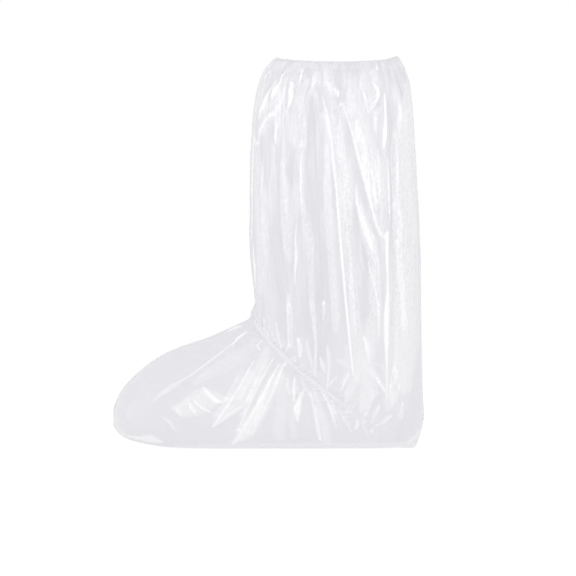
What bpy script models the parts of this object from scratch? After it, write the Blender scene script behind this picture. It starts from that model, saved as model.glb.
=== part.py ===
"""A tall film overboot, worn: two boot-shaped panels of thin film welded edge to edge, an
elastic in the turned hem at the top, and an elastic strip across each side of the ankle.

Metres, +Z up. The toe points to -X. The origin is where the shoe stands inside: on the film of
the sole, under the middle of the leg.
"""

import math
from collections import namedtuple

import bmesh
import bpy
import numpy as np

# Outline of the boot in side view, with its welded edge
OVERALL_HEIGHT = 0.457
INSTEP_HEIGHT = 0.1705
SHAFT_DEPTH = 0.2005
MOUTH_DEPTH = 0.144
TOE_REACH = 0.260
HEEL_REACH = 0.104
MOUTH_DIP = 0.005

# Widths across the boot
SHAFT_WIDTH = 0.142
MOUTH_WIDTH = 0.114
FOOT_WIDTH = 0.112

# Film, weld and elastics
FILM_WALL = 0.0010
WELD_WIDTH = 0.0030
PANEL_GAP = 0.0004
FIT_GAP = 0.0003
HEM_ELASTIC_WIDTH = 0.006
HEM_LIP = 0.004
ANKLE_ELASTIC_WIDTH = 0.004
ELASTIC_THICKNESS = 0.0010

# What the elastics pull into the film, and its other folds
HEM_GATHER_HEIGHT = 0.0017
HEM_GATHER_REACH = 0.050
ANKLE_PINCH = 0.0050
ANKLE_GATHER_HEIGHT = 0.0018
FOLD_HEIGHT = 0.0056
FOLD_BREADTH = 0.0080

# How finely each panel is divided, and how many gathers cross it
BODY_COLUMNS = 29
PROFILE_POINTS = 50
GATHERS = 7

# How folds and dips fade, as shares: towards the rim's dip, the welds and the strip's end
DIP_FADE = 0.25
SEAM_FADE = 0.125
STRIP_FADE = 0.24
FOLD_END_POWER = 0.5
TOE_CORNER = 0.8

# One row for each section of the shaft, from the mouth down. rise: from the instep (0) to the
# mouth (1). depth, spread: from the mouth's depth and width (0) to the shaft's (1). front: the
# share of the depth that lies before the leg's middle. weld: 1 where the welded edge stands
# out, 0 in the hem.
Shaft = namedtuple("Shaft", "rise depth spread front weld")
SHAFT_SECTIONS = (
    Shaft(1.000, 0.00, 0.00, 0.488, 0.0),
    Shaft(0.955, 0.34, 0.34, 0.502, 0.0),
    Shaft(0.900, 0.57, 0.58, 0.506, 1.0),
    Shaft(0.835, 0.71, 0.74, 0.510, 1.0),
    Shaft(0.760, 0.79, 0.86, 0.512, 1.0),
    Shaft(0.680, 0.84, 0.94, 0.512, 1.0),
    Shaft(0.600, 0.90, 1.00, 0.512, 1.0),
    Shaft(0.520, 0.92, 1.00, 0.510, 1.0),
    Shaft(0.440, 0.95, 1.00, 0.507, 1.0),
    Shaft(0.360, 0.97, 0.98, 0.504, 1.0),
    Shaft(0.280, 1.00, 0.94, 0.503, 1.0),
    Shaft(0.205, 1.00, 0.88, 0.498, 1.0),
    Shaft(0.130, 0.97, 0.80, 0.493, 1.0),
    Shaft(0.060, 0.93, 0.71, 0.486, 1.0),
    Shaft(0.000, 0.90, 0.62, 0.482, 1.0),
)

# One row for each section of the foot, from the ankle to the toe. front_out: from the instep (0)
# to the toe (1). front_up, back_up: of the instep's height. back_out: of the heel's reach, or of
# the foot's where it is negative. side: of half the foot's width. flat: the share of that side
# that lies on the ground. low: where the widest place is, from front (0) to back (1). sway: how
# far the section bows towards the toe, of its length. weld: 1 where the welded edge at the back
# stands out, 0 where it is pressed flat under the sole. pinch: share of the ankle's pinch and,
# beside the elastic, of its gathers.
Foot = namedtuple("Foot", "front_out front_up back_out back_up side flat low sway weld pinch")
FOOT_SECTIONS = (
    Foot(0.007, 0.982, 0.975, 0.833, 1.17, 0.00, 0.50, 0.004, 1.0, 0.0),
    Foot(0.013, 0.969, 0.980, 0.663, 1.14, 0.00, 0.50, 0.009, 1.0, 0.0),
    Foot(0.018, 0.957, 0.986, 0.493, 1.11, 0.00, 0.51, 0.015, 1.0, 0.1),
    Foot(0.023, 0.946, 0.995, 0.328, 1.08, 0.04, 0.53, 0.022, 1.0, 0.2),
    Foot(0.027, 0.936, 1.000, 0.188, 1.05, 0.12, 0.55, 0.031, 1.0, 0.4),
    Foot(0.030, 0.928, 0.894, 0.000, 1.02, 0.36, 0.58, 0.040, 0.0, 0.7),
    Foot(0.033, 0.905, 0.731, 0.000, 1.00, 0.52, 0.60, 0.045, 0.0, 1.0),
    Foot(0.051, 0.886, 0.452, 0.000, 1.00, 0.61, 0.62, 0.043, 0.0, 0.6),
    Foot(0.080, 0.870, 0.173, 0.000, 1.01, 0.65, 0.65, 0.038, 0.0, 0.3),
    Foot(0.120, 0.853, -0.038, 0.000, 1.02, 0.66, 0.68, 0.030, 0.0, 0.1),
    Foot(0.172, 0.831, -0.162, 0.000, 1.02, 0.66, 0.71, 0.022, 0.0, 0.0),
    Foot(0.244, 0.798, -0.292, 0.000, 1.02, 0.66, 0.73, 0.014, 0.0, 0.0),
    Foot(0.330, 0.762, -0.423, 0.000, 1.01, 0.66, 0.75, 0.008, 0.0, 0.0),
    Foot(0.427, 0.730, -0.550, 0.000, 1.00, 0.66, 0.76, 0.003, 0.0, 0.0),
    Foot(0.526, 0.696, -0.665, 0.000, 0.99, 0.64, 0.76, 0.000, 0.0, 0.0),
    Foot(0.621, 0.656, -0.758, 0.006, 0.97, 0.60, 0.76, 0.000, 0.2, 0.0),
    Foot(0.718, 0.602, -0.837, 0.021, 0.94, 0.54, 0.76, 0.000, 0.5, 0.0),
    Foot(0.805, 0.538, -0.900, 0.042, 0.87, 0.46, 0.74, 0.000, 0.8, 0.0),
    Foot(0.880, 0.469, -0.946, 0.067, 0.75, 0.37, 0.71, 0.000, 1.0, 0.0),
    Foot(0.938, 0.403, -0.973, 0.094, 0.58, 0.27, 0.66, 0.000, 1.0, 0.0),
    Foot(0.974, 0.338, -0.988, 0.122, 0.36, 0.15, 0.60, 0.000, 1.0, 0.0),
    Foot(1.000, 0.275, -1.000, 0.160, 0.00, 0.00, 0.50, 0.000, 1.0, 0.0),
)
ANKLE_SECTION = 6  # the foot section that the ankle's elastic follows
ANKLE_SPAN = (0.04, 0.66)  # the shares of that section where the strip starts and ends

# Main folds in side view: straight ridges, or dents where high is negative, that fade at both
# ends. x: of the foot's reach. z: of the overall height. broad, high: of the fold's sizes above.
Fold = namedtuple("Fold", "x1 z1 x2 z2 broad high")
FOLDS = (
    Fold(-0.21, 0.97, -0.36, 0.82, 1.0, 0.7),
    Fold(-0.27, 0.88, -0.38, 0.74, 1.0, 0.6),
    Fold(-0.19, 0.95, -0.21, 0.82, 0.9, 0.6),
    Fold(-0.26, 0.76, -0.25, 0.38, 1.3, -0.7),
    Fold(-0.15, 0.76, -0.18, 0.42, 1.0, 0.5),
    Fold(-0.11, 0.93, -0.06, 0.34, 1.5, -0.9),
    Fold(-0.06, 0.93, 0.09, 0.17, 1.0, 1.5),
    Fold(0.03, 0.90, 0.23, 0.50, 1.0, 1.1),
    Fold(0.11, 0.97, 0.15, 0.82, 0.9, 0.7),
    Fold(0.08, 0.68, 0.20, 0.26, 1.1, 0.9),
    Fold(0.22, 0.95, 0.23, 0.12, 1.1, 1.2),
    Fold(0.25, 0.97, 0.31, 0.74, 0.9, 0.8),
    Fold(-0.21, 0.42, -0.20, 0.24, 0.8, 0.7),
    Fold(-0.12, 0.42, -0.08, 0.17, 0.8, 0.8),
    Fold(-0.40, 0.31, -0.79, 0.14, 1.0, 0.9),
    Fold(-0.36, 0.24, -0.56, 0.03, 1.1, 1.0),
    Fold(-0.26, 0.25, -0.44, 0.03, 0.9, 0.9),
    Fold(-0.22, 0.23, -0.39, 0.01, 1.1, 1.2),
    Fold(-0.18, 0.20, -0.16, 0.04, 0.8, 0.9),
    Fold(-0.12, 0.17, -0.06, 0.01, 0.9, 0.9),
    Fold(-0.05, 0.16, 0.02, 0.02, 0.8, 0.7),
)

HALF_GAP = PANEL_GAP / 2
FIN = HALF_GAP + FILM_WALL  # how far a weld's outer face lies from the middle plane
HEM_TURN = FILM_WALL + FIT_GAP + ELASTIC_THICKNESS / 2  # radius of the turned hem, outside
SOLE_FADE = 0.12 * INSTEP_HEIGHT  # folds grow from nothing at the ground to full at this height
BOW_PEAK = 27 / 4  # share * (1 - share) ** 2 is 4 / 27 at its peak


def mix(a, b, share):
    return a + (b - a) * share


def unit(vectors):
    return vectors / np.maximum(np.linalg.norm(vectors, axis=-1, keepdims=True), 1e-12)


# Sections

Loft = namedtuple("Loft", "front back front_out back_out front_weld back_weld shape pinch rise")


def shaft_row(section):
    depth = mix(MOUTH_DEPTH, SHAFT_DEPTH, section.depth)
    side = mix(MOUTH_WIDTH, SHAFT_WIDTH, section.spread) / 2
    z = mix(INSTEP_HEIGHT, OVERALL_HEIGHT, section.rise) - FILM_WALL
    front = -depth * section.front
    weld = section.weld
    return front, z, front + depth, z, weld, weld, side, 0, 0.5, 0, 0, section.rise


def foot_row(section, instep):
    front = mix(instep, -TOE_REACH, section.front_out)
    back = section.back_out * (HEEL_REACH if section.back_out > 0 else TOE_REACH)
    front_z = INSTEP_HEIGHT * section.front_up - FILM_WALL
    back_z = INSTEP_HEIGHT * section.back_up - FILM_WALL
    side = FOOT_WIDTH / 2 * section.side
    flat = side * section.flat
    shape = (side, flat, section.low, section.sway)
    return (front, front_z, back, back_z, 1, section.weld, *shape, section.pinch, 0)


def loft():
    """Both tables in metres, with the ways out of the boot at both ends of each section."""
    rows = [shaft_row(section) for section in SHAFT_SECTIONS]
    instep = rows[-1][0]
    rows += [foot_row(section, instep) for section in FOOT_SECTIONS]
    table = np.array(rows, float)
    front, back = table[:, 0:2], table[:, 2:4]
    ahead = unit(np.gradient(front, axis=0))
    front_out = np.stack([ahead[:, 1], -ahead[:, 0]], axis=1)
    ahead = unit(np.gradient(back, axis=0))
    back_out = np.stack([-ahead[:, 1], ahead[:, 0]], axis=1)
    welds = table[:, 4], table[:, 5]
    return Loft(front, back, front_out, back_out, *welds, table[:, 6:10], *table[:, 10:12].T)


def half_profile(chord, side, flat, low):
    """Even points on one side of a section, from the front weld to the back one: how far they
    are along the section's chord, and how far out from it."""
    turn = np.linspace(0, math.pi / 2, PROFILE_POINTS)
    along = np.concatenate(
        [chord * low * (1 - np.cos(turn)), chord * mix(low, 1, np.sin(turn)), [chord]]
    )
    out = np.concatenate([side * np.sin(turn), flat + (side - flat) * np.cos(turn), [0]])
    length = np.concatenate([[0], np.cumsum(np.hypot(np.diff(along), np.diff(out)))])
    even = np.linspace(0, length[-1], BODY_COLUMNS)
    return np.interp(even, length, along), np.interp(even, length, out)


def edge_roots(rows):
    """Where the front and back welds leave the boot's body, in side view."""
    front = rows.front - rows.front_out * (WELD_WIDTH * rows.front_weld)[:, None]
    back = rows.back - rows.back_out * (WELD_WIDTH * rows.back_weld)[:, None]
    return front, back


# The film's outer face, for the wearer's left panel at -Y


def smooth_body(rows):
    """The body of the panel before its folds, as a grid of points."""
    front, back = edge_roots(rows)
    grid = np.zeros((len(front), BODY_COLUMNS, 3))
    for i, (side, flat, low, sway) in enumerate(rows.shape):
        chord = math.dist(front[i], back[i])
        direction = (back[i] - front[i]) / chord
        toeward = np.array([direction[1], -direction[0]])
        along, out = half_profile(chord, side, flat, low)
        share = along / chord
        bow = chord * sway * BOW_PEAK * share * (1 - share) ** 2
        xz = front[i] + np.outer(along, direction) + np.outer(bow, toeward)
        near_rim = np.clip(1 - (1 - rows.rise[i]) / DIP_FADE, 0, 1)
        dip = MOUTH_DIP * near_rim * np.sin(math.pi * share)
        grid[i, :, 0] = xz[:, 0]
        grid[i, :, 1] = -FIN - out * max(0, 1 - FIN / max(side, FIN))
        grid[i, :, 2] = xz[:, 1] - dip
    return grid


def grid_normals(grid):
    down, across = np.gradient(grid, axis=0), np.gradient(grid, axis=1)
    return unit(np.cross(down, across))


def fold_heights(x, z):
    """How far the main folds push the film out, at places in side view."""
    push = np.zeros_like(x)
    for fold in FOLDS:
        start = np.array([fold.x1 * TOE_REACH, fold.z1 * OVERALL_HEIGHT])
        run = np.array([fold.x2 * TOE_REACH, fold.z2 * OVERALL_HEIGHT]) - start
        length = math.hypot(*run)
        along = ((x - start[0]) * run[0] + (z - start[1]) * run[1]) / length**2
        across = ((x - start[0]) * run[1] - (z - start[1]) * run[0]) / length
        fade = np.sin(math.pi * np.clip(along, 0, 1)) ** FOLD_END_POWER
        push += fold.high * fade * np.exp(-((across / (fold.broad * FOLD_BREADTH)) ** 2))
    return push * FOLD_HEIGHT


def folded_body(rows):
    """The body of the panel with its folds, its pinched ankle and its gathers."""
    grid = smooth_body(rows)
    share = np.linspace(0, 1, BODY_COLUMNS)
    wave = np.sin(2 * math.pi * GATHERS * share)
    x, z = grid[:, :, 0], grid[:, :, 2]
    inland = np.clip(np.minimum(share, 1 - share) / SEAM_FADE, 0, 1)
    raised = np.clip((z + FILM_WALL) / SOLE_FADE, 0, 1)
    near_hem = np.clip(1 - (OVERALL_HEIGHT - z) / HEM_GATHER_REACH, 0, 1)
    elastic = np.clip((ANKLE_SPAN[1] - share) / STRIP_FADE + 0.5, 0, 1) * inland
    pinch = rows.pinch[:, None]
    push = fold_heights(x, z) * inland * (1 - pinch * elastic)
    push -= ANKLE_PINCH * pinch * elastic
    push += ANKLE_GATHER_HEIGHT * wave * elastic * 4 * pinch * (1 - pinch)
    push += HEM_GATHER_HEIGHT * wave * near_hem
    push *= raised
    push[:, [0, -1]] = 0
    push[-1] = 0
    return grid + grid_normals(grid) * push[:, :, None]


def ankle_line(grid, row):
    """The ankle section's points, the way down across it, and the way out of the film."""
    down = unit(grid[row + 1] - grid[row - 1])
    across = np.gradient(grid[row], axis=0)
    return grid[row], down, unit(np.cross(down, across))


def with_ankle_seat(grid, row):
    """The ankle section becomes two, with a flat seat between them for the elastic."""
    line, down, _ = ankle_line(grid, row)
    half = ANKLE_ELASTIC_WIDTH / 2 + FIT_GAP
    return np.vstack([grid[:row], [line - down * half], [line + down * half], grid[row + 1 :]])


# The film as a thin wall: its outer and inner faces, with the hem and the welds


def hem_normals(rim):
    """Level unit normals along the rim, square to the middle plane at both its ends."""
    across = unit(np.gradient(rim[:, 0:2], axis=0))
    normals = np.column_stack([across[:, 1], -across[:, 0], np.zeros(len(rim))])
    normals[0], normals[-1] = (-1, 0, 0), (1, 0, 0)
    return normals


def hem_rows(rim):
    """Outer and inner points of the turned hem, from its lip inside, up and over the rim."""
    normals, up = hem_normals(rim), np.array([0, 0, 1.0])
    lip = rim - normals * 2 * HEM_TURN - up * (HEM_TURN + HEM_ELASTIC_WIDTH + HEM_LIP)
    outer, inner = [lip], [lip + normals * FILM_WALL]
    for turn in np.radians((180, 120, 60)):
        facing = normals * math.cos(turn) + up * math.sin(turn)
        point = rim - (normals + up) * HEM_TURN + facing * HEM_TURN
        outer.append(point)
        inner.append(point - facing * FILM_WALL)
    return np.array(outer), np.array(inner)


def weld_columns(root, out, weld):
    """Outer and inner points of the welded edge that runs along one end of the rows, each as
    (tip, root). Where weld is 0 the film ends square at the middle plane."""
    out3 = np.stack([out[:, 0], np.zeros(len(out)), out[:, 1]], axis=1)
    reach = (WELD_WIDTH * weld)[:, None]
    thick = (FILM_WALL * (1 - weld))[:, None]
    level = np.array([1, 0, 1.0])
    tip, inner_root = root * level + out3 * reach, root * level - out3 * FILM_WALL
    inner_tip = tip - out3 * thick
    tip[:, 1] = -HALF_GAP - FILM_WALL * weld
    inner_tip[:, 1] = -HALF_GAP
    inner_root[:, 1] = -HALF_GAP - FILM_WALL * (1 - weld)
    return tip, inner_tip, inner_root


def panel_faces(rows, ankle_row):
    """The outer and inner faces of the left panel, as two grids of the same size."""
    body = with_ankle_seat(folded_body(rows), ankle_row)
    double = np.insert(np.arange(len(rows.front)), ankle_row, ankle_row)
    rim = body[0].copy()
    body[0, :, 2] -= HEM_TURN
    inner = body - grid_normals(body) * FILM_WALL
    inner[0] = body[0] - hem_normals(rim) * FILM_WALL
    inner[-1] = body[-1] + np.array([FILM_WALL, FILM_WALL, 0])
    ends = ((0, rows.front_out, rows.front_weld), (-1, rows.back_out, rows.back_weld))
    edges = []
    for column, out, weld in ends:
        tip, inner_tip, inner_root = weld_columns(body[:, column], out[double], weld[double])
        inner[:, column] = inner_root
        edges.append((tip[:, None], inner_tip[:, None]))
    outer = np.hstack([edges[0][0], body, edges[1][0]])
    inner = np.hstack([edges[0][1], inner, edges[1][1]])

    toe = outer[-1] - np.array([WELD_WIDTH, 0, 0])
    toe[0], toe[-1] = mix(toe[0], toe[1], TOE_CORNER), mix(toe[-1], toe[-2], TOE_CORNER)
    inner_toe = toe * (1, 0, 1) - np.array([0, HALF_GAP, 0])

    hem = [np.hstack([face[:, :1], face, face[:, -1:]]) for face in hem_rows(rim)]
    for side in hem:
        side[:, [0, -1], 1] = -HALF_GAP
    return np.vstack([hem[0], outer, [toe]]), np.vstack([hem[1], inner, [inner_toe]])


# Meshes


def mirrored(grid):
    return grid * (1, -1, 1)


def solid_mesh(name, outer, inner, closed=False):
    """A thin closed wall between two grids of the same size. A closed one meets itself after
    its last column."""
    bm = bmesh.new()
    faces = [[[bm.verts.new(p) for p in row] for row in grid] for grid in (outer, inner)]
    height, width = len(outer), len(outer[0])
    spans = range(width if closed else width - 1)
    for side in faces:
        for i in range(height - 1):
            for j in spans:
                k = (j + 1) % width
                bm.faces.new((side[i][j], side[i][k], side[i + 1][k], side[i + 1][j]))
    top, under = faces
    for i in (0, height - 1):
        for j in spans:
            k = (j + 1) % width
            bm.faces.new((top[i][j], top[i][k], under[i][k], under[i][j]))
    if not closed:
        for j in (0, width - 1):
            for i in range(height - 1):
                bm.faces.new((top[i][j], top[i + 1][j], under[i + 1][j], under[i][j]))
    bmesh.ops.recalc_face_normals(bm, faces=bm.faces)
    mesh = bpy.data.meshes.new(name)
    bm.to_mesh(mesh)
    bm.free()
    mesh.shade_smooth()
    mesh.set_sharp_from_angle(angle=math.radians(50))
    return mesh


def hem_elastic_mesh(rim):
    """A flat ring that lies between the two legs of the hem."""
    normals = hem_normals(rim)
    top = rim - np.array([0, 0, HEM_TURN])
    low = top - np.array([0, 0, HEM_ELASTIC_WIDTH])
    depths = FILM_WALL + FIT_GAP, FILM_WALL + FIT_GAP + ELASTIC_THICKNESS
    faces = []
    for depth in depths:
        half = np.array([edge - normals * depth for edge in (top, low)])
        faces.append(np.hstack([half, mirrored(half)[:, ::-1]]))
    return solid_mesh("top_elastic", *faces, closed=True)


def ankle_elastic_faces(body, row):
    """The outer and inner faces of the strip that lies on the ankle's seat."""
    line, down, out = ankle_line(body, row)
    start, end = (round(share * (BODY_COLUMNS - 1)) for share in ANKLE_SPAN)
    half = ANKLE_ELASTIC_WIDTH / 2
    edges = np.array([line - down * half, line + down * half])[:, start : end + 1]
    out = out[start : end + 1]
    return edges + out * (FIT_GAP + ELASTIC_THICKNESS), edges + out * FIT_GAP


def material(name, color, roughness, alpha=1.0):
    made = bpy.data.materials.new(name)
    made.use_nodes = True
    shader = made.node_tree.nodes["Principled BSDF"]
    shader.inputs["Base Color"].default_value = (*color, 1)
    shader.inputs["Roughness"].default_value = roughness
    shader.inputs["Metallic"].default_value = 0
    shader.inputs["Alpha"].default_value = alpha
    made.diffuse_color = (*color, 1)
    return made


def add(mesh, surface, parent):
    made = bpy.data.objects.new(mesh.name, mesh)
    made.data.materials.append(surface)
    made.parent = parent
    bpy.context.scene.collection.objects.link(made)


def main():
    for old in list(bpy.data.objects):
        bpy.data.objects.remove(old)
    boot = bpy.data.objects.new("boot", None)
    bpy.context.scene.collection.objects.link(boot)
    film = material("milky film", (0.80, 0.80, 0.84), 0.22, 0.9)
    elastic = material("white elastic", (0.72, 0.72, 0.74), 0.75)

    rows = loft()
    body = folded_body(rows)
    ankle_row = len(SHAFT_SECTIONS) + ANKLE_SECTION
    outer, inner = panel_faces(rows, ankle_row)
    add(solid_mesh("left_panel", outer, inner), film, boot)
    add(solid_mesh("right_panel", mirrored(outer), mirrored(inner)), film, boot)
    add(hem_elastic_mesh(body[0]), elastic, boot)
    strip = ankle_elastic_faces(body, ankle_row)
    add(solid_mesh("left_ankle_elastic", *strip), elastic, boot)
    add(solid_mesh("right_ankle_elastic", *(mirrored(face) for face in strip)), elastic, boot)


main()
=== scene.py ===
import math
import random

import bpy
import numpy as np
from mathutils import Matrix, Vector


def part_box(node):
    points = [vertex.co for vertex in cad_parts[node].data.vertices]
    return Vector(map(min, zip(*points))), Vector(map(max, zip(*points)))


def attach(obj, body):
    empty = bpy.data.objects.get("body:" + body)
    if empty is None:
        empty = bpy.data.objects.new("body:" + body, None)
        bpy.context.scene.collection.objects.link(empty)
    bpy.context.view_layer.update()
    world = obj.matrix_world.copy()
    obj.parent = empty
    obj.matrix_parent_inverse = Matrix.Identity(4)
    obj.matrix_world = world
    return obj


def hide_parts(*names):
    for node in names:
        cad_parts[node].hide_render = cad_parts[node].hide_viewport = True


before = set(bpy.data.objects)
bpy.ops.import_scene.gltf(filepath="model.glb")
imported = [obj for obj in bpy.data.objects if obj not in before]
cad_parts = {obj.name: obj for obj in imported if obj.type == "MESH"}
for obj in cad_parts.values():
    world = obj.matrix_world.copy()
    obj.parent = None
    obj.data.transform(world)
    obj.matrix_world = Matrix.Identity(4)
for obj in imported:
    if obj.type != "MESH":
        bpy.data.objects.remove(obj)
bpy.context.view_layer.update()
print("frame loaded:", sorted(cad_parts))

# the reference photo: its scale, and the pixel where the leg's middle meets the ground
photo = {
    "pixel": 0.001172,     # metres
    "middleX": 335.0,
    "groundY": 447.0,
    "size": 576,
}

# the boot's own sizes, in metres
boot = {
    "film": 0.001,         # the sole's underside lies this far below the frame's origin
    "instepHeight": 0.1705,
    "shaftDepth": 0.2005,
    "mouthDepth": 0.144,
    "toeReach": 0.260,
    "heelReach": 0.104,
    "shaftWidth": 0.142,
    "mouthWidth": 0.114,
    "footWidth": 0.112,
    "mouthDip": 0.0068,
    "mouthEar": 0.0018,    # how far the hem stands up at the back seam
    "hemTurn": 0.0018,     # radius of the turned hem
    "hemDrop": 0.0118,     # how far the turned-in film hangs down inside
    "seamGap": 0.0002,     # from the middle plane to each panel's edge
    "weldWidth": 0.0012,
    "anklePinch": 0.0014,
}
boot["height"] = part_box("left_panel")[1].z + boot["film"]

# how its sections are rounded, as shares and powers
bootShape = {
    "seamPoint": 1.25,     # over 1 the film comes to a point at the seams
    "soleRound": 3,        # how soon a section with a flat sole is round at its lower seam
    "bowPeak": 27 / 4,     # share * (1 - share) ** 2 is 4 / 27 at its peak
    "dipPower": 0.55,
    "dipFade": 0.25,       # share of the leg over which the rim's dip fades
    "earFrom": 0.88,       # share of the way round where the hem begins to stand up
    "weldSet": 0.35,       # how far a weld's outer face stands off, in walls
}

# sections of the leg from the mouth down. rise: from the instep (0) to the mouth (1). depth and
# spread: from the mouth's (0) to the shaft's (1). front: share of the depth before the leg's
# middle. weld: share of its width that the weld stands out
shaftSections = [
    (1.000, 0.00, 0.00, 0.488, 0.0),
    (0.955, 0.34, 0.34, 0.502, 0.6),
    (0.900, 0.57, 0.58, 0.506, 1.0),
    (0.835, 0.71, 0.74, 0.510, 1.0),
    (0.760, 0.79, 0.86, 0.512, 1.0),
    (0.680, 0.84, 0.94, 0.512, 1.0),
    (0.600, 0.90, 1.00, 0.512, 1.0),
    (0.520, 0.92, 1.00, 0.510, 1.0),
    (0.440, 0.95, 1.00, 0.507, 1.0),
    (0.360, 0.97, 0.98, 0.504, 1.0),
    (0.280, 1.00, 0.94, 0.503, 1.0),
    (0.205, 1.00, 0.88, 0.498, 1.0),
    (0.130, 0.97, 0.80, 0.493, 1.0),
    (0.060, 0.93, 0.71, 0.486, 1.0),
    (0.000, 0.90, 0.62, 0.482, 1.0),
]

# sections of the foot to the toe: frontOut, frontUp, backOut, backUp, side, flat, low, sway, weld.
# out: from the instep to the toe, or in toe or heel reaches. up: in instep heights. side: in half
# foot widths. flat, low: the sole's share of that side, and where the side is widest. sway: bow
footSections = [
    (0.007, 0.982, 0.975, 0.833, 1.17, 0.00, 0.50, 0.004, 1.0),
    (0.013, 0.969, 0.980, 0.663, 1.14, 0.00, 0.50, 0.009, 1.0),
    (0.018, 0.957, 0.986, 0.493, 1.11, 0.00, 0.51, 0.015, 1.0),
    (0.023, 0.946, 0.995, 0.328, 1.08, 0.04, 0.53, 0.022, 1.0),
    (0.027, 0.936, 1.000, 0.188, 1.05, 0.12, 0.55, 0.031, 1.0),
    (0.030, 0.928, 0.894, 0.000, 1.02, 0.36, 0.58, 0.040, 0.0),
    (0.033, 0.905, 0.731, 0.000, 1.00, 0.52, 0.60, 0.045, 0.0),
    (0.051, 0.886, 0.452, 0.000, 1.00, 0.61, 0.62, 0.043, 0.0),
    (0.080, 0.870, 0.173, 0.000, 1.01, 0.65, 0.65, 0.038, 0.0),
    (0.120, 0.853, -0.038, 0.000, 1.02, 0.66, 0.68, 0.030, 0.0),
    (0.172, 0.831, -0.162, 0.000, 1.02, 0.66, 0.71, 0.022, 0.0),
    (0.244, 0.798, -0.292, 0.000, 1.02, 0.66, 0.73, 0.014, 0.0),
    (0.330, 0.762, -0.423, 0.000, 1.01, 0.66, 0.75, 0.008, 0.0),
    (0.427, 0.730, -0.550, 0.000, 1.00, 0.66, 0.76, 0.003, 0.0),
    (0.526, 0.696, -0.665, 0.000, 0.99, 0.64, 0.76, 0.000, 0.0),
    (0.621, 0.656, -0.758, 0.006, 0.97, 0.60, 0.76, 0.000, 0.2),
    (0.718, 0.602, -0.837, 0.021, 0.94, 0.54, 0.76, 0.000, 0.5),
    (0.805, 0.538, -0.900, 0.042, 0.87, 0.46, 0.74, 0.000, 0.8),
    (0.880, 0.469, -0.946, 0.067, 0.75, 0.37, 0.71, 0.000, 1.0),
    (0.938, 0.403, -0.973, 0.094, 0.58, 0.27, 0.66, 0.000, 1.0),
    (0.974, 0.338, -0.988, 0.122, 0.36, 0.15, 0.60, 0.000, 1.0),
    (1.000, 0.275, -1.000, 0.160, 0.00, 0.00, 0.50, 0.000, 1.0),
]
ankleSection = len(shaftSections) + 6

filmMesh = {
    "left": (312, 296),    # rows down the boot, columns round it
    "right": (270, 250),
    "rowSteps": (0.6, 0.2, 0.002),    # rows go by the longer edge, by both edges, and evenly
    "footDensity": 1.9,    # rows lie closer together in the foot than in the leg
    "hemDensity": 2.6,
    "profileSteps": 80,
    "softenRows": 0.030,   # share of the rows over which the leg's sections run into the foot's
    "softenInland": (0.14, 0.16),     # which fades over these shares of the width, front and back
    "softenSections": (3, 17, 4),     # from this section, to this one of the foot, over so many
    "soleFade": 0.014,     # all creases fade over this length above the sole
    "weldFade": 0.006,     # and over this one beside the welds
    "seamFade": 0.022,     # the photo's folds fade over this one towards the seams
    "hemRows": (6, 8),     # rows down the turned-in film, and over the turn
    "hemTuck": 0.0004,     # least step down from the rim, for the first rows
}

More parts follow.
